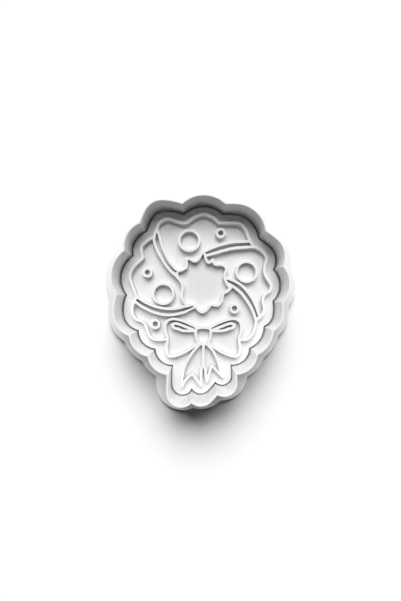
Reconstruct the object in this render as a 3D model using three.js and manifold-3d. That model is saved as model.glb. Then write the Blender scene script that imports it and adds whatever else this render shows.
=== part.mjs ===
// A wreath cookie cutter set in two pieces. The cutter is a thin scalloped wall standing on a flange.
// The stamp is a plate with raised lines that drops inside the wall and prints the wreath on the dough.
// Millimetres, +Z up, both pieces flat on the table with the cutting edge and the lines upward.

import * as THREE from 'three';
import { mergeVertices } from 'three/addons/utils/BufferGeometryUtils.js';
import Module from 'manifold-3d';

// Driving dimensions
const STAMP_LENGTH = 82.2; // plate of the stamp, from the crown of the wreath to the ribbon ends
const PLATE_THICKNESS = 5;
const RELIEF_HEIGHT = 3; // raised lines above the plate
const LINE_WIDTH = 1.15;
const BAUBLE_RADIUS = 4.35; // to the middle of the ring's line
const BERRY_RADIUS = 1.7; // to the middle of the ring's line
const BOW_OFFSET = 1.2; // the bow hangs this far to the right of the middle
const STAMP_CLEARANCE = 0.95; // gap between the plate's edge and the wall, all round
const BLADE_THICKNESS = 0.8;
const CUTTER_HEIGHT = 18;
const FLANGE_WIDTH = 6; // beyond the wall
const FLANGE_THICKNESS = 3;

// How finely round shapes are cut into facets
const ARC_ERROR = 0.02;
const STEPS_BETWEEN_POINTS = 4;
const END_STEPS = 6;

const PLASTIC_COLOUR = 0xf0f0f0;
const PLASTIC_ROUGHNESS = 0.6;

// Edge of the plate as drawn, clockwise: a corner and the rise of the outward arc that leaves it
const PLATE_EDGE = [
  [-7.05, 37.2, 3.55], // crown
  [9.6, 37.3, 0.15],
  [15.5, 37.2, 2.45],
  [25.0, 27.0, 0.2], // right side, downward
  [30.6, 22.7, 1.5],
  [31.5, 13.35, 3.05],
  [31.25, -0.3, 0.33],
  [31.35, -6.6, 0.85],
  [27.5, -11.1, 1.85],
  [21.2, -20.65, 2.6], // bow's right loop
  [12.7, -27.9, 0.05],
  [13.0, -33.0, 2.6], // right ribbon end
  [6.45, -35.3, 0.15],
  [2.9, -39.5, 1.8], // left ribbon end, inner and outer corner
  [-3.9, -38.0, 3.6],
  [-11.95, -37.0, 0.1],
  [-11.6, -28.05, 2.35], // bow's left loop
  [-19.55, -20.95, 2.25],
  [-26.9, -12.85, 1.1], // left side, upward
  [-33.0, -7.6, 0.95],
  [-31.95, 2.4, 3.8],
  [-29.1, 19.4, 2.3],
  [-23.3, 30.0, 0.15],
  [-21.0, 35.5, 0.85],
  [-15.5, 38.9, 0.4],
];

const wasm = await Module();
wasm.setup();

// Solids

function toSolid(geometry) {
  geometry.deleteAttribute('normal');
  geometry.deleteAttribute('uv');
  const merged = mergeVertices(geometry);
  return new wasm.Manifold(new wasm.Mesh({
    numProp: 3,
    vertProperties: new Float32Array(merged.attributes.position.array),
    triVerts: new Uint32Array(merged.index.array),
  }));
}

function extrude(shape, bottom, top, curveSegments) {
  const geometry = new THREE.ExtrudeGeometry(shape, {
    depth: top - bottom,
    bevelEnabled: false,
    curveSegments,
  });
  return toSolid(geometry.translate(0, 0, bottom));
}

function toMesh(name, solid) {
  const { vertProperties, triVerts } = solid.getMesh();
  const geometry = new THREE.BufferGeometry();
  geometry.setAttribute('position', new THREE.BufferAttribute(vertProperties, 3));
  geometry.setIndex(new THREE.BufferAttribute(triVerts, 1));
  geometry.computeVertexNormals();
  const plastic = new THREE.MeshStandardMaterial({
    color: PLASTIC_COLOUR,
    roughness: PLASTIC_ROUGHNESS,
    metalness: 0,
  });
  const mesh = new THREE.Mesh(geometry, plastic);
  mesh.name = name;
  return mesh;
}

function arcSteps(radius, sweep) {
  return Math.ceil(sweep / (2 * Math.acos(1 - ARC_ERROR / radius)));
}

// Outline of the plate, and the same outline grown outward for the wall and the flange

function arcsAlong(edge, scale) {
  const corners = edge.map(([x, y]) => new THREE.Vector2(x, y).multiplyScalar(scale));
  return corners.map((start, i) => {
    const end = corners[(i + 1) % corners.length];
    const rise = edge[i][2] * scale;
    const chord = end.clone().sub(start);
    const radius = (chord.lengthSq() / 4 + rise * rise) / (2 * rise);
    const outward = new THREE.Vector2(-chord.y, chord.x).normalize();
    const centre = start.clone().lerp(end, 0.5).addScaledVector(outward, rise - radius);
    return { start, end, centre, radius };
  });
}

// Arcs that grow keep their centres. Neighbours meet on the side of their centres where they met before,
// and arcs that come together over a swallowed one meet on the outer side.
function meeting(before, after, growth) {
  const between = after.centre.clone().sub(before.centre);
  const distance = between.length();
  const reach = before.radius + growth;
  const along = (reach ** 2 - (after.radius + growth) ** 2 + distance ** 2) / (2 * distance);
  const across = Math.sqrt(Math.max(reach ** 2 - along ** 2, 0));
  const neighbours = before.end.equals(after.start);
  const side = neighbours ? Math.sign(between.cross(before.end.clone().sub(before.centre))) : 1;
  const forward = between.normalize();
  const left = new THREE.Vector2(-forward.y, forward.x);
  return before.centre.clone().addScaledVector(forward, along).addScaledVector(left, side * across);
}

// How far an arc turns clockwise from one meeting to the next. More than half a turn means that the
// arcs beside it have met first and swallowed it.
function clockwiseTurn(centre, from, to) {
  const turn = from.clone().sub(centre).angle() - to.clone().sub(centre).angle();
  return THREE.MathUtils.euclideanModulo(turn, 2 * Math.PI);
}

function grownOutline(arcs, growth) {
  const meetings = arcs.map((arc, i) => meeting(arcs.at(i - 1), arc, growth));
  const turns = arcs.map((arc, i) => clockwiseTurn(arc.centre, meetings[i], meetings[(i + 1) % arcs.length]));
  const swallowed = turns.findIndex((turn) => turn > Math.PI);
  if (swallowed >= 0) {
    return grownOutline(arcs.toSpliced(swallowed, 1), growth);
  }
  return arcs.flatMap(({ centre, radius }, i) => {
    const reach = radius + growth;
    const first = meetings[i].clone().sub(centre).angle();
    const steps = arcSteps(reach, turns[i]);
    return Array.from({ length: steps }, (_, step) => {
      const angle = first - (turns[i] * step) / steps;
      return new THREE.Vector2(Math.cos(angle), Math.sin(angle)).multiplyScalar(reach).add(centre);
    });
  });
}

const drawnOutline = grownOutline(arcsAlong(PLATE_EDGE, 1), 0);
const drawnLength = new THREE.Box2().setFromPoints(drawnOutline).getSize(new THREE.Vector2()).y;
const drawingScale = STAMP_LENGTH / drawnLength;
const plateArcs = arcsAlong(PLATE_EDGE, drawingScale);

function slab(growth, thickness) {
  return extrude(new THREE.Shape(grownOutline(plateArcs, growth)), 0, thickness);
}

// Raised lines of the stamp. They start halfway down the plate, so that they grow out of it.

const lineFoot = PLATE_THICKNESS / 2;
const lineTop = PLATE_THICKNESS + RELIEF_HEIGHT;

// A band along a smooth curve through the points, with round ends
function band(points) {
  const curve = new THREE.SplineCurve(points);
  const steps = STEPS_BETWEEN_POINTS * (points.length - 1);
  const leftSide = [];
  const rightSide = [];
  for (let step = 0; step <= steps; step++) {
    const middle = curve.getPoint(step / steps);
    const along = curve.getTangent(step / steps);
    const left = new THREE.Vector2(-along.y, along.x).multiplyScalar(LINE_WIDTH / 2);
    leftSide.push(middle.clone().add(left));
    rightSide.unshift(middle.clone().sub(left));
  }
  const roundEnd = (from, middle) => Array.from({ length: END_STEPS - 1 }, (_, step) =>
    from.clone().rotateAround(middle, (-Math.PI * (step + 1)) / END_STEPS));
  const outline = [
    ...leftSide,
    ...roundEnd(leftSide.at(-1), curve.getPoint(1)),
    ...rightSide,
    ...roundEnd(rightSide.at(-1), curve.getPoint(0)),
  ];
  return extrude(new THREE.Shape(outline), lineFoot, lineTop);
}

function drawn(x, y) {
  return new THREE.Vector2(x, y).multiplyScalar(drawingScale);
}

function line(...points) {
  return band(points.map(([x, y]) => drawn(x, y)));
}

// Lines of the bow are drawn from its own axis
function bowLine(...points) {
  return band(points.map(([x, y]) => drawn(x, y).add(new THREE.Vector2(BOW_OFFSET, 0))));
}

function bowPair(...points) {
  return bowLine(...points).add(bowLine(...points.map(([x, y]) => [-x, y])));
}

function ring(x, y, radius) {
  const { x: centreX, y: centreY } = drawn(x, y);
  const outer = radius + LINE_WIDTH / 2;
  const inner = radius - LINE_WIDTH / 2;
  const shape = new THREE.Shape().absarc(centreX, centreY, outer, 0, 2 * Math.PI);
  shape.holes.push(new THREE.Path().absarc(centreX, centreY, inner, 0, 2 * Math.PI));
  return extrude(shape, lineFoot, lineTop, arcSteps(outer, 2 * Math.PI));
}

const wreathLines = [
  // crown
  line([-18.7, 30.8], [-17.6, 33.4], [-14.2, 35.1], [-9.8, 33.8], [-6.2, 33.3], [-2.6, 35.7],
    [1.6, 37.1], [5.3, 35.7], [8, 33.2]),
  line([8, 33.2], [12.7, 33.4], [16.9, 33], [19.3, 30.5], [20.7, 26.7], [22.6, 23.3]),
  // left side
  line([-19.6, 27.4], [-22.7, 25.9], [-25.1, 23.5], [-25.3, 21], [-24.7, 18.4]),
  line([-24.7, 18.4], [-28.1, 15.2], [-30.1, 11.9], [-30.1, 8.9], [-28.7, 5], [-27.5, 1.7]),
  line([-27.5, 1.7], [-28.9, -1.5], [-29.3, -4.8], [-27.8, -7.9], [-24.5, -9.3], [-23, -12.1],
    [-21.7, -15.3], [-19.2, -16.8], [-14.9, -16.7]),
  // right side
  line([23.3, 23], [26.4, 21.4], [28.3, 18.4], [27.6, 14.8], [27.4, 12], [28.6, 9.5], [30.4, 6.6],
    [29.7, 4.2], [27.2, 2], [26.8, -0.6], [27.3, -3.8], [26.3, -6.2], [23.9, -8.5]),
  line([23.9, -8.5], [23.5, -11.2], [22.3, -14.3], [19.8, -16.7], [16.6, -16.8]),
];

const ribbonLines = [
  // from the crown to the left side of the opening
  line([-18.7, 30.8], [-20, 26.6], [-18.5, 21.5], [-15.8, 17], [-12.6, 12.8], [-9.8, 9], [-7.9, 5.6],
    [-8, 1.5], [-6.4, -1.4], [-4.2, -1.9]),
  line([-18.7, 30.8], [-17.6, 27.5], [-16.1, 22.4], [-13.6, 17.4], [-10.6, 13.6], [-9.6, 11.5]),
  // from the opening to the upper right
  line([2, 21.2], [6.2, 23.1], [10.5, 24.4], [14.7, 25.2], [21, 25.4]),
  line([2.5, 19.2], [6.3, 20.5], [10.5, 21.8], [14.7, 22.7], [19.2, 23], [23.3, 23]),
  // from the opening to the lower right
  line([10.5, 9.8], [14.5, 8.4], [18.6, 5.6], [22.7, 0], [25.3, -6.5]),
  line([11.4, 7.4], [13.7, 6.2], [17.7, 2.9], [21.7, -3], [23.9, -8.5]),
  // from the left side to the bottom of the opening
  line([-27.5, 1.7], [-23.5, -0.5], [-19.3, -2.5], [-15.2, -3.4], [-10.9, -3.4], [-6.8, -2.5], [-2.6, -1.9]),
  line([-28.3, -0.2], [-24.2, -2.7], [-19.8, -4.9], [-15.3, -6], [-10.7, -5.8], [-6.4, -4.5], [-2.2, -2.6]),
];

const openingLines = [
  line([-9.6, 11.5], [-7, 12.4], [-5.9, 14.9], [-5.9, 17.9]),
  line([-5.9, 17.9], [-2.4, 16.9], [-0.3, 18.4], [1.2, 20.8]),
  line([1.4, 20.8], [2.4, 17.6], [3.7, 16.3], [5.3, 17.6]),
  line([5.3, 17.6], [6.3, 15.5], [9.3, 15.4], [11.1, 13.6], [10.3, 10.6], [11.2, 7.6], [12.9, 5.4]),
  line([12.9, 5.4], [9.8, 3.1], [9.1, -0.2], [7.3, -2.1], [4.5, -1.9], [2.6, -4.1], [0.8, -5],
    [-0.8, -4.2], [-2.3, -2.2]),
];

const bowLines = [
  // loops, their folds, and the knot
  bowPair([2.6, -11.7], [7.6, -9.2], [12.8, -7.8], [15.8, -9.2], [16.3, -12.7], [15.3, -16.4],
    [15.8, -20.8], [14.4, -23.9], [10.2, -23.2], [5.9, -21], [2.4, -18.4]),
  bowPair([3.2, -13], [7.6, -11.3], [11.6, -9.9], [13.5, -10.5]),
  bowPair([13.5, -10.5], [12.2, -12], [8.7, -13], [3.2, -13]),
  bowPair([0, -11.6], [2.6, -12], [3.3, -13.8], [2.7, -16.9], [1.7, -18.5], [0, -18.8]),
  // tails
  bowLine([-1.7, -19], [-4.9, -22.7], [-7.8, -27.8], [-9, -32.5], [-9.2, -36.8]),
  bowLine([-9.2, -36.8], [-7.4, -33.9], [-4.7, -31.3]),
  bowLine([-4.7, -31.3], [-1.1, -36.4]),
  bowLine([0.1, -18.8], [0, -23.5], [0, -27.3], [-0.8, -30.4], [-1.1, -36.4]),
  bowLine([0, -27.3], [0.8, -30.4], [1.6, -34.8]),
  bowLine([1.6, -34.8], [3.5, -27.9]),
  bowLine([3.5, -27.9], [8.3, -32.7]),
  bowLine([1.7, -18.9], [4.1, -21.5], [6, -25.4], [7.3, -29.9], [8.3, -32.7]),
];

const baubleLines = [
  ring(-4.8, 25.8, BAUBLE_RADIUS),
  ring(-16, 2.9, BAUBLE_RADIUS),
  ring(19.8, 12.4, BAUBLE_RADIUS),
  ring(8.7, 29, BERRY_RADIUS),
  ring(-22.8, 12.1, BERRY_RADIUS),
  ring(14.6, -3.4, BERRY_RADIUS),
  ring(-19.4, -10.1, BERRY_RADIUS),
];

// The two pieces

const wallInside = STAMP_CLEARANCE;
const wallOutside = wallInside + BLADE_THICKNESS;
const flangeEdge = wallOutside + FLANGE_WIDTH;

const stampSolid = [...wreathLines, ...ribbonLines, ...openingLines, ...bowLines, ...baubleLines]
  .reduce((sum, raised) => sum.add(raised), slab(0, PLATE_THICKNESS));

const cutterSolid = slab(flangeEdge, FLANGE_THICKNESS)
  .add(slab(wallOutside, CUTTER_HEIGHT))
  .subtract(slab(wallInside, CUTTER_HEIGHT));

const cookieCutter = new THREE.Group();
cookieCutter.add(toMesh('cutter', cutterSolid), toMesh('stamp', stampSolid));

// The middle of the flange is the origin
const flangeBox = new THREE.Box2().setFromPoints(grownOutline(plateArcs, flangeEdge));
const flangeMiddle = flangeBox.getCenter(new THREE.Vector2());
cookieCutter.position.set(-flangeMiddle.x, -flangeMiddle.y, 0);

export default cookieCutter;
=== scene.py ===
"""Wreath cookie cutter and its loose stamp: rounded edges, printed plastic, floor, light and camera."""

import math
from collections import namedtuple

import bmesh
import bpy
import numpy as np
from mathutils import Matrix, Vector
from mathutils.geometry import delaunay_2d_cdt


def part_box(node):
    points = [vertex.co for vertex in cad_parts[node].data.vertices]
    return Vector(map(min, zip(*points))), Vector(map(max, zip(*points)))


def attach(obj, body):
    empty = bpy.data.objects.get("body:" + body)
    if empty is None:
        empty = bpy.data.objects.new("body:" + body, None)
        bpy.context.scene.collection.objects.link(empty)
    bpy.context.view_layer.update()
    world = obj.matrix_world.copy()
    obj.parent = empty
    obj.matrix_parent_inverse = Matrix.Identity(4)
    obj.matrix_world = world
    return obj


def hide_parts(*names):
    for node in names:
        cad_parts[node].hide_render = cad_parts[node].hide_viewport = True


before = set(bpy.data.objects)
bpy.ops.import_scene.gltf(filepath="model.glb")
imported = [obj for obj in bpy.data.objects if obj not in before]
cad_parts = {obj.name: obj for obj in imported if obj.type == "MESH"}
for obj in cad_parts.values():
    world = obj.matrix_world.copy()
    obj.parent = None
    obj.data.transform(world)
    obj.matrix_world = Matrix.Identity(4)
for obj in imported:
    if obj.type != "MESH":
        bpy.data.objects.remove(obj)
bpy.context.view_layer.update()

MM = 0.001

# Heights of the two printed pieces, from the solids they stand for and two thicknesses
FLANGE_THICKNESS = 3.0 * MM
PLATE_THICKNESS = 5.0 * MM
CUTTER_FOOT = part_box("cutter")[0].z
CUTTER_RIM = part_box("cutter")[1].z
STAMP_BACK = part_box("stamp")[0].z
STAMP_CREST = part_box("stamp")[1].z
FLANGE_TOP = CUTTER_FOOT + FLANGE_THICKNESS
PLATE_TOP = STAMP_BACK + PLATE_THICKNESS

# How far each printed corner is rounded over, and in how many steps
RIM_ROUND = 0.15 * MM
FLANGE_ROUND = 0.35 * MM
FOOT_ROUND = 0.2 * MM
CREST_ROUND = 0.1 * MM
PLATE_ROUND = 0.2 * MM
ROUND_STEPS = 3

# How much nearer the wall the plate's edge stands than that of the solid
PLATE_GROWTH = 0.18 * MM

# Places where the raised lines lie a little beside those of the solid, in millimetres: x and y of the
# middle, how far the shift reaches, and the shift itself
LINE_SHIFTS = [
    # left ribbon, where it meets the opening
    (-9.6, 11.4, 1.6, 0.0, 1.2),
    (-6.8, 11.9, 1.9, -0.15, 1.25),
    (-9.1, 8.4, 2.6, 0.8, 0.0),
    (-12.4, 13.0, 1.5, -0.27, -0.23),
    (-13.8, 14.8, 1.5, -0.27, -0.23),
    (-15.2, 16.6, 1.5, -0.27, -0.23),
    # corners of the opening
    (-5.2, 17.0, 1.3, -0.2, 0.6),
    (1.15, 19.2, 1.1, 0.0, 0.75),
    (11.6, 4.1, 1.6, 0.25, -0.45),
    # lower edge of the upper right ribbon
    (7.5, 20.7, 2.0, 0.0, -0.2),
    (11.0, 21.7, 2.0, 0.0, -0.2),
    (14.5, 22.4, 2.0, 0.0, -0.2),
    (18.0, 22.7, 2.0, 0.0, -0.2),
    # left end of the lower left ribbon
    (-27.0, -0.5, 1.2, 0.0, -0.35),
    (-24.0, 0.1, 1.5, 0.0, -0.2),
    (-21.8, -1.1, 1.5, 0.0, -0.2),
    # lower edge of the lower left ribbon, and the tip of its slot
    (-25.0, -2.3, 2.0, 0.0, -0.55),
    (-21.5, -4.2, 2.0, 0.0, -0.4),
    (-18.0, -5.5, 2.0, 0.0, -0.2),
    (-14.5, -6.1, 2.0, 0.0, -0.2),
    (-11.0, -5.9, 2.0, 0.0, -0.2),
    (-7.5, -5.0, 2.0, 0.0, -0.2),
    (-6.7, -4.0, 1.2, 0.0, -0.35),
    (-6.6, -2.7, 0.9, 0.0, 0.2),
    (-5.6, -2.75, 0.4, 0.25, 0.0),
    (-4.4, -2.6, 0.3, -0.05, 0.25),
    (-3.55, -2.45, 0.3, 0.6, 0.3),
    (-4.3, -2.8, 0.3, 1.15, 0.05),
    (-5.5, -3.35, 0.4, 0.2, -0.2),
    # lower edges of the bow's two folds
    (-9.6, -12.4, 1.1, 0.0, 0.5),
    (12.0, -12.4, 1.1, 0.0, 0.5),
    # fork between the bow's two tails
    (0.4, -29.8, 1.2, -0.35, 0.0),
    (2.0, -29.8, 1.2, 0.35, 0.0),
    (1.3, -29.3, 0.8, 0.0, 0.9),
]

# The same for the plate's edge, which stands nearer the wall still beside the tails
EDGE_SHIFTS = [
    (-12.1, -30.5, 3.0, -0.42, 0.0),
    (-12.0, -35.5, 3.0, -0.42, 0.0),
    (13.0, -29.5, 2.5, 0.35, 0.0),
    (13.2, -33.0, 2.5, 0.35, 0.0),
]

# Short bridge between the left ribbon and the corner of the opening, which shuts the ribbon's slot
BRIDGE_MIDDLE = Vector((-9.95, 12.05)) * MM
BRIDGE_REACH = 0.6 * MM
BRIDGE_STEPS = 8

# Tolerances that tell one point, one flat face or one sharp corner from another
WELD_DISTANCE = 0.001 * MM
LEVEL_TOLERANCE = 0.01 * MM
LEVEL_NORMAL = 0.9999
PARALLEL = 0.0001
SLIT = -0.5
FLAT_EPSILON = 0.00001
FLAT_ANGLE = math.radians(0.05)
SHARP_ANGLE = math.radians(40)

# The kind of result that delaunay_2d_cdt gives for 0: triangles out to the hull of all points
ALL_TRIANGLES = 0

scene = bpy.context.scene

# Printed shapes: upright walls on the solids' own outlines, level faces between them, rounded corners


def flat_loops(solid, level):
    """Outlines of a solid's level faces at one height, each with the plastic on its left from above."""
    shape = bmesh.new()
    shape.from_mesh(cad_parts[solid].data)
    bmesh.ops.remove_doubles(shape, verts=shape.verts, dist=WELD_DISTANCE)
    shape.faces.index_update()
    at_level = [
        all(abs(vert.co.z - level) < LEVEL_TOLERANCE for vert in face.verts)
        for face in shape.faces
    ]
    onward = {}
    for face in shape.faces:
        if not at_level[face.index]:
            continue
        for corner in face.loops:
            if not at_level[corner.link_loop_radial_next.face.index]:
                ends = (corner.vert, corner.link_loop_next.vert)
                start, end = ends if face.normal.z > 0 else ends[::-1]
                onward[start] = end
    loops = []
    while onward:
        start, vert = onward.popitem()
        points = [start.co.xy]
        while vert is not start:
            points.append(vert.co.xy)
            vert = onward.pop(vert)
        loops.append(without_straight_points(points))
    shape.free()
    return loops


def without_straight_points(points):
    """A loop without the points that lie on the straight line between their neighbours."""
    kept = []
    for before, point, after in zip(points[-1:] + points, points, points[1:] + points[:1]):
        turn = (point - before).angle_signed(after - point)
        if abs(turn) > FLAT_ANGLE:
            kept.append(point.copy())
    return kept


def signed_area(points):
    """Area of a loop, below zero where it runs clockwise."""
    return sum(a.cross(b) for a, b in zip(points, points[1:] + points[:1])) / 2


Side = namedtuple("Side", "start end along")


def corner_of(first, second):
    """Where two moved sides meet; a narrow slit between them is joined across."""
    turn = first.along.cross(second.along)
    slit = turn < 0 and first.along.dot(second.along) < SLIT
    if slit or abs(turn) < PARALLEL:
        return (first.end + second.start) / 2
    return first.start + first.along * ((second.start - first.start).cross(second.along) / turn)


def moved_in(points, width):
    """A loop moved into the plastic; a side too short to follow shrinks to a point."""
    sides = []
    for start, end in zip(points, points[1:] + points[:1]):
        along = (end - start).normalized()
        inward = Vector((-along.y, along.x)) * width
        sides.append(Side(start + inward, end + inward, along))
    count = len(sides)
    kept = list(range(count))
    while True:
        corners = [corner_of(sides[kept[i - 1]], sides[kept[i]]) for i in range(len(kept))]
        lengths = [
            (after - corner).dot(sides[side].along)
            for side, corner, after in zip(kept, corners, corners[1:] + corners[:1])
        ]
        shortest = min(range(len(kept)), key=lengths.__getitem__)
        if lengths[shortest] > 0:
            break
        del kept[shortest]
    moved = []
    place = 0
    for side in range(count):
        while place < len(kept) and kept[place] < side:
            place += 1
        moved.append(corners[place % len(kept)])
    return moved


def ring(shape, points, height):
    """A vertex for each point of a loop at one height; points that fell together share theirs."""
    made = {}
    for point in points:
        if point[:] not in made:
            made[point[:]] = shape.verts.new((point.x, point.y, height))
    return [made[point[:]] for point in points]


def skirt(shape, lower, upper):
    """The upright or sloping face between two rings of one loop."""
    for i, low in enumerate(lower):
        corners = [lower[i - 1], low, upper[i], upper[i - 1]]
        corners = list(dict.fromkeys(corners))
        if len(corners) > 2:
            shape.faces.new(corners)


def rounded_over(shape, points, height, width, upward):
    """A corner rounded over from the wall to the level face: its first and its last ring."""
    inner = moved_in(points, width)
    rings = []
    for step in range(ROUND_STEPS + 1):
        angle = math.pi / 2 * step / ROUND_STEPS
        share = 1 - math.cos(angle)
        rise = width * (math.sin(angle) - 1)
        moved = [point.lerp(goal, share) for point, goal in zip(points, inner)]
        if step == ROUND_STEPS:
            moved = inner
        rings.append(ring(shape, moved, height + rise * (1 if upward else -1)))
    for first, second in zip(rings, rings[1:]):
        skirt(shape, *((first, second) if upward else (second, first)))
    return rings[0], rings[-1]


def turns_round(places, starts, ends):
    """How many times the given sides wind round each place."""
    total = np.zeros(len(places), int)
    for (ax, ay), (bx, by) in zip(starts, ends):
        left = (bx - ax) * (places[:, 1] - ay) - (places[:, 0] - ax) * (by - ay)
        total += (ay <= places[:, 1]) & (by > places[:, 1]) & (left > 0)
        total -= (by <= places[:, 1]) & (ay > places[:, 1]) & (left < 0)
    return total


def level_face(shape, rings, upward):
    """The level face that lies on the left of every ring."""
    verts = []
    sides = []
    for verts_round in rings:
        single = list(dict.fromkeys(verts_round))
        first = len(verts)
        verts += single
        sides += [(first + i, first + (i + 1) % len(single)) for i in range(len(single))]
    flat = [vert.co.xy / MM for vert in verts]
    found, _, triangles, sources, _, _ = delaunay_2d_cdt(flat, sides, [], ALL_TRIANGLES, FLAT_EPSILON)
    places = np.array([point[:] for point in found])
    triangles = np.array(triangles)
    origin = [source[0] for source in sources]
    outline = np.array([point[:] for point in flat])
    starts, ends = outline[[a for a, b in sides]], outline[[b for a, b in sides]]
    inside = turns_round(places[triangles].mean(axis=1), starts, ends) == 1
    for triangle in triangles[inside]:
        corners = [verts[origin[i]] for i in triangle]
        face = shape.faces.new(corners)
        face.normal_update()
        if (face.normal.z > 0) != upward:
            face.normal_flip()


def finished_piece(shape, name, solid, body, finish):
    """A printed piece from its shape, in place of the plain solid."""
    for face in shape.faces:
        face.smooth = True
    shape.normal_update()
    for edge in shape.edges:
        level_sides = sum(abs(face.normal.z) > LEVEL_NORMAL for face in edge.link_faces)
        edge.smooth = level_sides != 1 and edge.calc_face_angle(0) < SHARP_ANGLE
    mesh = bpy.data.meshes.new(name)
    shape.to_mesh(mesh)
    shape.free()
    mesh.materials.append(finish)
    piece = bpy.data.objects.new(name, mesh)
    scene.collection.objects.link(piece)
    even = piece.modifiers.new("even_shading", "WEIGHTED_NORMAL")
    even.keep_sharp = True
    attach(piece, body)
    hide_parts(solid)
    return piece


def cutter_shape():
    """The cutting wall on its flat flange, open right through."""
    wall_inside, wall_outside = sorted(flat_loops("cutter", CUTTER_RIM), key=signed_area)
    flange_edge = max(flat_loops("cutter", CUTTER_FOOT), key=signed_area)
    shape = bmesh.new()
    foot_inside, foot_well = rounded_over(shape, wall_inside, CUTTER_FOOT, FOOT_ROUND, False)
    top_inside, rim_well = rounded_over(shape, wall_inside, CUTTER_RIM, RIM_ROUND, True)
    top_outside, rim_edge = rounded_over(shape, wall_outside, CUTTER_RIM, RIM_ROUND, True)
    foot_outside, foot_edge = rounded_over(shape, flange_edge, CUTTER_FOOT, FOOT_ROUND, False)
    flange_side, flange_brim = rounded_over(shape, flange_edge, FLANGE_TOP, FLANGE_ROUND, True)
    wall_root = ring(shape, wall_outside, FLANGE_TOP)
    skirt(shape, foot_inside, top_inside)
    skirt(shape, wall_root, top_outside)
    skirt(shape, foot_outside, flange_side)
    level_face(shape, [rim_edge, rim_well], True)
    level_face(shape, [flange_brim, wall_root[::-1]], True)
    level_face(shape, [foot_edge, foot_well], False)
    return shape


def shifted(points, places):
    """A loop eased over at the given places."""
    moved = []
    for point in points:
        total = point.copy()
        for x, y, reach, shift_x, shift_y in places:
            distance = (point / MM - Vector((x, y))).length
            total += Vector((shift_x, shift_y)) * MM * math.exp(-((distance / reach) ** 2))
        moved.append(total)
    return moved


def parted(points):
    """A loop of the raised lines, parted in two where the bridge crosses it."""
    fine = [
        start.lerp(end, step / BRIDGE_STEPS)
        for start, end in zip(points, points[1:] + points[:1])
        for step in range(BRIDGE_STEPS)
    ]
    bridged = [i for i, point in enumerate(fine) if (point - BRIDGE_MIDDLE).length < BRIDGE_REACH]
    if not bridged:
        return [points]
    parts = []
    for last, following in zip(bridged, bridged[1:] + [bridged[0] + len(fine)]):
        part = [fine[i % len(fine)] for i in range(last + 1, following)]
        if part:
            parts.append(without_straight_points(part))
    return parts


def stamp_shape():
    """The flat plate with its raised lines."""
    back_edge = max(flat_loops("stamp", STAMP_BACK), key=signed_area)
    plate_edge = shifted(moved_in(back_edge, -PLATE_GROWTH), EDGE_SHIFTS)
    lines = []
    for points in flat_loops("stamp", STAMP_CREST):
        lines += parted(shifted(points, LINE_SHIFTS))
    shape = bmesh.new()
    back_side, back_brim = rounded_over(shape, plate_edge, STAMP_BACK, FOOT_ROUND, False)
    plate_side, plate_brim = rounded_over(shape, plate_edge, PLATE_TOP, PLATE_ROUND, True)
    skirt(shape, back_side, plate_side)
    roots = []
    crests = []
    for points in lines:
        line_side, crest = rounded_over(shape, points, STAMP_CREST, CREST_ROUND, True)
        root = ring(shape, points, PLATE_TOP)
        skirt(shape, root, line_side)
        roots.append(root[::-1])
        crests.append(crest)
    level_face(shape, crests, True)
    level_face(shape, [plate_brim] + roots, True)
    level_face(shape, [back_brim], False)
    return shape


# Node helpers

# Sockets of a Mix node that blends colours, which share their names with those for plain numbers
MIX_FIRST = 6
MIX_SECOND = 7
MIX_RESULT = 2


def node(tree, kind, **settings):
    """A new node with the given settings."""
    made = tree.nodes.new(kind)
    for key, value in settings.items():
        setattr(made, key, value)
    return made


def feed(tree, socket, value):
    """Puts a number, a colour or another node's output on a socket."""
    if isinstance(value, bpy.types.NodeSocket):
        tree.links.new(value, socket)
    else:
        socket.default_value = value


def maths(tree, operation, *values):
    """The result of a sum on numbers or other nodes' outputs."""
    made = node(tree, "ShaderNodeMath", operation=operation)
    for socket, value in zip(made.inputs, values):
        feed(tree, socket, value)
    return made.outputs[0]


def ranged(tree, value, low, high, to_low=0.0, to_high=1.0):
    """A value stretched from one range to another and held inside it."""
    made = node(tree, "ShaderNodeMapRange", clamp=True)
    for socket, number in zip(made.inputs, (value, low, high, to_low, to_high)):
        feed(tree, socket, number)
    return made.outputs[0]


def blended(tree, share, first, second):
    """A colour between two others."""
    made = node(tree, "ShaderNodeMix", data_type="RGBA")
    feed(tree, made.inputs["Factor"], share)
    feed(tree, made.inputs[MIX_FIRST], first)
    feed(tree, made.inputs[MIX_SECOND], second)
    return made.outputs[MIX_RESULT]


def chosen_by(tree, share, first, second):
    """The first shader where the share is 0, and the second where it is 1."""
    made = node(tree, "ShaderNodeMixShader")
    for socket, value in zip(made.inputs, (share, first, second)):
        feed(tree, socket, value)
    return made.outputs["Shader"]


def grey(tone):
    """An even grey from black at 0 to white at 1."""
    return (tone, tone, tone, 1)


def place_on_piece(tree):
    """The place of each point on its piece, in metres."""
    return node(tree, "ShaderNodeTexCoord").outputs["Object"]


def parts_of(tree, vector):
    """The X, Y and Z of a vector."""
    made = node(tree, "ShaderNodeSeparateXYZ")
    feed(tree, made.inputs["Vector"], vector)
    return made.outputs


def levelness(tree):
    """0 on an upright wall and 1 on a level face."""
    normal = node(tree, "ShaderNodeNewGeometry").outputs["Normal"]
    return maths(tree, "ABSOLUTE", parts_of(tree, normal)["Z"])


def noise(tree, place, scale, detail):
    """Smooth noise, from about 0 to 1."""
    made = node(tree, "ShaderNodeTexNoise", noise_dimensions="3D")
    feed(tree, made.inputs["Vector"], place)
    feed(tree, made.inputs["Scale"], scale)
    feed(tree, made.inputs["Detail"], detail)
    return made.outputs["Fac"]


def one_in_a_row(tree, number):
    """A value of its own, from 0 to 1, for each whole number."""
    made = node(tree, "ShaderNodeTexWhiteNoise", noise_dimensions="1D")
    feed(tree, made.inputs["W"], number)
    return made.outputs["Value"]


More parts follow.
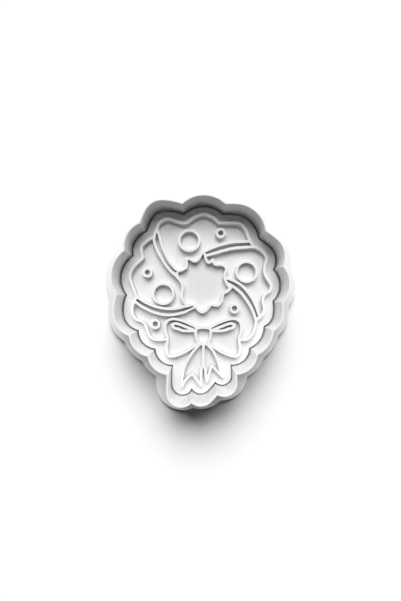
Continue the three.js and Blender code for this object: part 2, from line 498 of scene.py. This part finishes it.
def effect(name, inputs, outputs):
    """An empty shader node group with named sockets, and its two ends."""
    tree = bpy.data.node_groups.new(name, "ShaderNodeTree")
    for label, value in inputs.items():
        socket = tree.interface.new_socket(name=label, in_out="INPUT", socket_type="NodeSocketFloat")
        socket.default_value = value
    for label in outputs:
        tree.interface.new_socket(name=label, in_out="OUTPUT", socket_type="NodeSocketFloat")
    start = tree.nodes.new("NodeGroupInput")
    end = tree.nodes.new("NodeGroupOutput")
    return tree, start.outputs, end.inputs


def placed(tree, group, values):
    """An effect set into a material with its own values."""
    made = node(tree, "ShaderNodeGroup", node_tree=group)
    for label, value in values.items():
        feed(tree, made.inputs[label], value)
    return made.outputs


# Effects that both plastics share

LAYER_HEIGHT = 0.2 * MM
CUTTER_STRAND = 0.42 * MM
STAMP_STRAND = 0.45 * MM
CREST_BAND = 0.1 * MM

# How far the print lines wander, as a share of their pitch, and between which slopes they fade
PITCH_WANDER = 0.15
UPRIGHT_FROM = 0.75
UPRIGHT_FULL = 0.35

# How rough each noise is, and which part of its range is used
WANDER_DETAIL = 1.0
PATCH_DETAIL = 3.0
PATCH_RANGE = (0.3, 0.7)
GRAIN_DETAIL = 2.0
GRAIN_RANGE = (0.25, 0.75)
GROOVE_SHADE_DETAIL = 2.0
GROOVE_SHADE_RANGE = (0.3, 0.7)
GROOVE_SHADE_SHARES = (0.8, 1.0)


def row_of_ridges(tree, along, pitch, wander):
    """Ridges side by side at a pitch that wanders: their height, and a tone of its own for each."""
    count = maths(tree, "DIVIDE", along, pitch)
    count = maths(tree, "MULTIPLY_ADD", wander, PITCH_WANDER, count)
    phase = maths(tree, "MULTIPLY", count, math.pi)
    ridge = maths(tree, "ABSOLUTE", maths(tree, "SINE", phase))
    return ridge, one_in_a_row(tree, maths(tree, "FLOOR", count))


def layer_lines():
    """Layer lines: the stacked rounds of plastic that show on upright walls."""
    tree, start, end = effect(
        "layer_lines",
        {"Layer height": LAYER_HEIGHT, "Wander scale": 300.0},
        ["Ridge", "Tone", "Upright"],
    )
    place = place_on_piece(tree)
    wander = noise(tree, place, start["Wander scale"], WANDER_DETAIL)
    height = parts_of(tree, place)["Z"]
    ridge, tone = row_of_ridges(tree, height, start["Layer height"], wander)
    feed(tree, end["Ridge"], ridge)
    feed(tree, end["Tone"], tone)
    feed(tree, end["Upright"], ranged(tree, levelness(tree), UPRIGHT_FROM, UPRIGHT_FULL))
    return tree


def raster_lines():
    """Raster lines: the strands laid side by side on level faces."""
    tree, start, end = effect(
        "raster_lines",
        {"Strand width": CUTTER_STRAND, "Turn": 0.0, "Wander scale": 200.0},
        ["Ridge", "Tone", "Level"],
    )
    place = place_on_piece(tree)
    wander = noise(tree, place, start["Wander scale"], WANDER_DETAIL)
    turned = node(tree, "ShaderNodeVectorRotate", rotation_type="Z_AXIS")
    feed(tree, turned.inputs["Vector"], place)
    feed(tree, turned.inputs["Angle"], start["Turn"])
    across = parts_of(tree, turned.outputs["Vector"])["X"]
    ridge, tone = row_of_ridges(tree, across, start["Strand width"], wander)
    feed(tree, end["Ridge"], ridge)
    feed(tree, end["Tone"], tone)
    feed(tree, end["Level"], ranged(tree, levelness(tree), UPRIGHT_FULL, UPRIGHT_FROM))
    return tree


def plastic_mottle():
    """Mottle: slow patches in the tone of the plastic, and the fine grain of its matt skin."""
    tree, start, end = effect(
        "plastic_mottle",
        {"Patch scale": 60.0, "Grain scale": 4000.0},
        ["Patch", "Grain"],
    )
    place = place_on_piece(tree)
    patch = noise(tree, place, start["Patch scale"], PATCH_DETAIL)
    grain = noise(tree, place, start["Grain scale"], GRAIN_DETAIL)
    feed(tree, end["Patch"], ranged(tree, patch, *PATCH_RANGE))
    feed(tree, end["Grain"], ranged(tree, grain, *GRAIN_RANGE))
    return tree


def crest_painted_highlight():
    """Crests: the topmost faces painted a touch whiter than the rest, a painted highlight."""
    tree, start, end = effect(
        "crest_painted_highlight",
        {"Crest height": 0.0, "Crest band": CREST_BAND, "Painted highlight": 1.0},
        ["Crest"],
    )
    height = parts_of(tree, place_on_piece(tree))["Z"]
    foot = maths(tree, "SUBTRACT", start["Crest height"], start["Crest band"])
    crest = ranged(tree, height, foot, start["Crest height"])
    feed(tree, end["Crest"], maths(tree, "MULTIPLY", crest, start["Painted highlight"]))
    return tree


def painted_groove_shade():
    """Grooves: narrow places painted a little greyer than the open faces, a painted shade where the
    plastic is closed in.
    """
    tree, start, end = effect(
        "painted_groove_shade",
        {"Openness": 1.0, "Unshaded from": 0.45, "Fully shaded from": 0.1, "Wander scale": 400.0},
        ["Grime"],
    )
    wander = noise(tree, place_on_piece(tree), start["Wander scale"], GROOVE_SHADE_DETAIL)
    share = ranged(tree, wander, *GROOVE_SHADE_RANGE, *GROOVE_SHADE_SHARES)
    painted_shade = ranged(tree, start["Openness"], start["Unshaded from"], start["Fully shaded from"])
    feed(tree, end["Grime"], maths(tree, "MULTIPLY", painted_shade, share))
    return tree


LAYERS = layer_lines()
RASTER = raster_lines()
MOTTLE = plastic_mottle()
CREST_HIGHLIGHT = crest_painted_highlight()
PAINTED_GROOVE_SHADE = painted_groove_shade()

# Plastics

# Share of each effect in the tone, the gloss and the relief of the plastic
LAYER_TONE = 0.3
RASTER_TONE = 0.3
PATCH_TONE = 0.4
GRAIN_GLOSS = 0.5
TONE_GLOSS = 0.5
LAYER_DEPTH = 0.012 * MM
RASTER_DEPTH = 0.008 * MM
GRAIN_DEPTH = 0.003 * MM
BUMP_DISTANCE = 1.0

# Shine of the plastic, and its tones from black at 0 to white at 1
PLASTIC_SPECULAR = 0.2
TONE_LOW = 0.77
TONE_HIGH = 0.83
# Painted highlight: the whiter tone painted on the crests
TONE_CREST_HIGHLIGHT = 0.9
# Painted shade: the grey tone painted into the grooves
TONE_PAINTED_SHADE = 0.58

# How far round a point the plastic counts towards a groove for the painted shade, and how many rays
# look for it
GROOVE_REACH = 2.5 * MM
GROOVE_RAYS = 16


def printed_plastic(name, roughness, layers, raster, mottle, crest_highlight, painted_shade):
    """Matt white printed plastic, with a painted highlight on its crests and painted shade in its
    grooves.
    """
    finish = bpy.data.materials.new(name)
    finish.use_nodes = True
    tree = finish.node_tree
    shader = tree.nodes["Principled BSDF"]
    shader.inputs["Specular IOR Level"].default_value = PLASTIC_SPECULAR
    layer = placed(tree, LAYERS, layers)
    strand = placed(tree, RASTER, raster)
    skin = placed(tree, MOTTLE, mottle)
    painted_crest = placed(tree, CREST_HIGHLIGHT, crest_highlight)
    # Painted shade: ambient occlusion greys the colour where the plastic is closed in
    open_side = node(tree, "ShaderNodeAmbientOcclusion", only_local=True, samples=GROOVE_RAYS)
    open_side.inputs["Distance"].default_value = GROOVE_REACH
    painted_groove = placed(tree, PAINTED_GROOVE_SHADE, {"Openness": open_side.outputs["AO"], **painted_shade})

    layer_tone = maths(tree, "MULTIPLY", layer["Tone"], layer["Upright"])
    strand_tone = maths(tree, "MULTIPLY", strand["Tone"], strand["Level"])
    tone = maths(tree, "MULTIPLY", skin["Patch"], PATCH_TONE)
    tone = maths(tree, "MULTIPLY_ADD", layer_tone, LAYER_TONE, tone)
    tone = maths(tree, "MULTIPLY_ADD", strand_tone, RASTER_TONE, tone)
    colour = blended(tree, tone, grey(TONE_LOW), grey(TONE_HIGH))
    # Painted highlight on the crests
    colour = blended(tree, painted_crest["Crest"], colour, grey(TONE_CREST_HIGHLIGHT))
    # Painted shade in the grooves
    colour = blended(tree, painted_groove["Grime"], colour, grey(TONE_PAINTED_SHADE))
    feed(tree, shader.inputs["Base Color"], colour)

    gloss = maths(tree, "MULTIPLY", tone, TONE_GLOSS)
    gloss = maths(tree, "MULTIPLY_ADD", skin["Grain"], GRAIN_GLOSS, gloss)
    feed(tree, shader.inputs["Roughness"], ranged(tree, gloss, 0.0, 1.0, *roughness))

    layer_ridge = maths(tree, "MULTIPLY", layer["Ridge"], layer["Upright"])
    strand_ridge = maths(tree, "MULTIPLY", strand["Ridge"], strand["Level"])
    relief = maths(tree, "MULTIPLY", skin["Grain"], GRAIN_DEPTH)
    relief = maths(tree, "MULTIPLY_ADD", layer_ridge, LAYER_DEPTH, relief)
    relief = maths(tree, "MULTIPLY_ADD", strand_ridge, RASTER_DEPTH, relief)
    bump = node(tree, "ShaderNodeBump")
    bump.inputs["Distance"].default_value = BUMP_DISTANCE
    feed(tree, bump.inputs["Height"], relief)
    feed(tree, shader.inputs["Normal"], bump.outputs["Normal"])
    return finish


CUTTER_FINISH = printed_plastic(
    "printed_cutter_plastic",
    roughness=(0.5, 0.7),
    layers={"Layer height": LAYER_HEIGHT, "Wander scale": 300.0},
    raster={"Strand width": CUTTER_STRAND, "Turn": math.radians(-45), "Wander scale": 200.0},
    mottle={"Patch scale": 60.0, "Grain scale": 4000.0},
    crest_highlight={"Crest height": CUTTER_RIM, "Crest band": CREST_BAND, "Painted highlight": 0.3},
    painted_shade={"Unshaded from": 0.45, "Fully shaded from": 0.1, "Wander scale": 400.0},
)
STAMP_FINISH = printed_plastic(
    "printed_stamp_plastic",
    roughness=(0.52, 0.72),
    layers={"Layer height": LAYER_HEIGHT, "Wander scale": 260.0},
    raster={"Strand width": STAMP_STRAND, "Turn": 0.0, "Wander scale": 160.0},
    mottle={"Patch scale": 45.0, "Grain scale": 4200.0},
    crest_highlight={"Crest height": STAMP_CREST, "Crest band": CREST_BAND, "Painted highlight": 1.0},
    painted_shade={"Unshaded from": 0.45, "Fully shaded from": 0.1, "Wander scale": 400.0},
)

cutter = finished_piece(
    cutter_shape(), "cutter_print", "cutter", "cutter", CUTTER_FINISH
)
stamp = finished_piece(
    stamp_shape(), "stamp_print", "stamp", "stamp", STAMP_FINISH
)

# Floor

FLOOR_REACH = 2.0
FLOOR_DROP = 0.02 * MM

# How white the floor is where it is seen, and to the light that it throws back
FLOOR_SEEN = 0.97
FLOOR_BOUNCE = 0.4


def seen_directly(tree):
    """1 where the camera, a reflection or a look through glass meets a surface, 0 for stray light."""
    ray = node(tree, "ShaderNodeLightPath").outputs
    direct = maths(tree, "MAXIMUM", ray["Is Camera Ray"], ray["Is Glossy Ray"])
    return maths(tree, "MAXIMUM", direct, ray["Is Transmission Ray"])


def white_floor():
    """Matt white paper that throws less light back on the pieces than it shows."""
    finish = bpy.data.materials.new("white_floor")
    finish.use_nodes = True
    tree = finish.node_tree
    tree.nodes.remove(tree.nodes["Principled BSDF"])
    white = node(tree, "ShaderNodeBsdfDiffuse")
    white.inputs["Color"].default_value = grey(FLOOR_SEEN)
    bounce = node(tree, "ShaderNodeBsdfDiffuse")
    bounce.inputs["Color"].default_value = grey(FLOOR_BOUNCE)
    shown = chosen_by(tree, seen_directly(tree), bounce.outputs["BSDF"], white.outputs["BSDF"])
    feed(tree, tree.nodes["Material Output"].inputs["Surface"], shown)
    return finish


floor_shape = bmesh.new()
bmesh.ops.create_grid(floor_shape, x_segments=1, y_segments=1, size=FLOOR_REACH)
floor_mesh = bpy.data.meshes.new("floor")
floor_shape.to_mesh(floor_mesh)
floor_shape.free()
floor_mesh.materials.append(white_floor())
floor = bpy.data.objects.new("floor", floor_mesh)
floor.location.z = CUTTER_FOOT - FLOOR_DROP
scene.collection.objects.link(floor)

# Light: a broad soft lamp beyond the top of the picture for both pieces, a weak one overhead,
# two low ones from the upper corners for the cutter's walls, and two for the long shadow on the floor

KEY_ELEVATION = math.radians(54)
KEY_SPREAD = math.radians(44)
KEY_STRENGTH = 3.25
SIDE_BEARING = math.radians(60)
SIDE_ELEVATION = math.radians(6)
SIDE_SPREAD = math.radians(30)
SIDE_STRENGTH = 1.65
OVERHEAD_ELEVATION = math.radians(90)
OVERHEAD_SPREAD = math.radians(180)
OVERHEAD_STRENGTH = 0.14
FLOOR_LAMP_BEARING = math.radians(13)
FLOOR_LAMP_ELEVATION = math.radians(38.5)
FLOOR_LAMP_SPREAD = math.radians(40)
FLOOR_LAMP_STRENGTH = 2.65
FILL_STRENGTH = 0.03


def soft_lamp(name, bearing, elevation, spread, strength, lit):
    """A distant lamp that lights only the given objects."""
    lamp_data = bpy.data.lights.new(name, "SUN")
    lamp_data.energy = strength
    lamp_data.angle = spread
    lamp = bpy.data.objects.new(name, lamp_data)
    lamp.rotation_euler = (elevation - math.pi / 2, 0, bearing)
    receivers = bpy.data.collections.new(name + "_receivers")
    for piece in lit:
        receivers.objects.link(piece)
    lamp.light_linking.receiver_collection = receivers
    scene.collection.objects.link(lamp)


def floor_lamp(name, bearing):
    """One of the lamps for the shadow on the floor."""
    soft_lamp(name, bearing, FLOOR_LAMP_ELEVATION, FLOOR_LAMP_SPREAD, FLOOR_LAMP_STRENGTH, [floor])


printed = [cutter, stamp]
soft_lamp("key_lamp", 0, KEY_ELEVATION, KEY_SPREAD, KEY_STRENGTH, printed)
soft_lamp("left_lamp", SIDE_BEARING, SIDE_ELEVATION, SIDE_SPREAD, SIDE_STRENGTH, [cutter])
soft_lamp("right_lamp", -SIDE_BEARING, SIDE_ELEVATION, SIDE_SPREAD, SIDE_STRENGTH, [cutter])
soft_lamp("overhead_lamp", 0, OVERHEAD_ELEVATION, OVERHEAD_SPREAD, OVERHEAD_STRENGTH, printed)
floor_lamp("floor_left_lamp", FLOOR_LAMP_BEARING)
floor_lamp("floor_right_lamp", -FLOOR_LAMP_BEARING)

# Backdrop: white where it is seen, and only a weak fill for the pieces

world = bpy.data.worlds.new("studio")
scene.world = world
world.use_nodes = True
sky = world.node_tree
fill = sky.nodes["Background"]
fill.inputs["Color"].default_value = grey(1)
fill.inputs["Strength"].default_value = FILL_STRENGTH
backdrop = node(sky, "ShaderNodeBackground")
backdrop.inputs["Color"].default_value = grey(1)
around = chosen_by(
    sky, seen_directly(sky), fill.outputs["Background"], backdrop.outputs["Background"]
)
feed(sky, sky.nodes["World Output"].inputs["Surface"], around)

# Camera: straight down, close above the object

CAMERA_HEIGHT = 146 * MM
CAMERA_AIM = Vector((0.01 * MM, 0.15 * MM, 0))
CAMERA_NEAR = 1 * MM

# Rows in the picture, and how much of the floor each one shows
PHOTO_ROWS = 601
FLOOR_PER_ROW = 0.4554 * MM

camera_data = bpy.data.cameras.new("photo_camera")
floor_seen = PHOTO_ROWS * FLOOR_PER_ROW
camera_data.lens = camera_data.sensor_width * CAMERA_HEIGHT / floor_seen
camera_data.clip_start = CAMERA_NEAR
camera = bpy.data.objects.new("photo_camera", camera_data)
camera.location = CAMERA_AIM + Vector((0, 0, CAMERA_HEIGHT))
scene.collection.objects.link(camera)
scene.camera = camera

scene.view_settings.view_transform = "Standard"
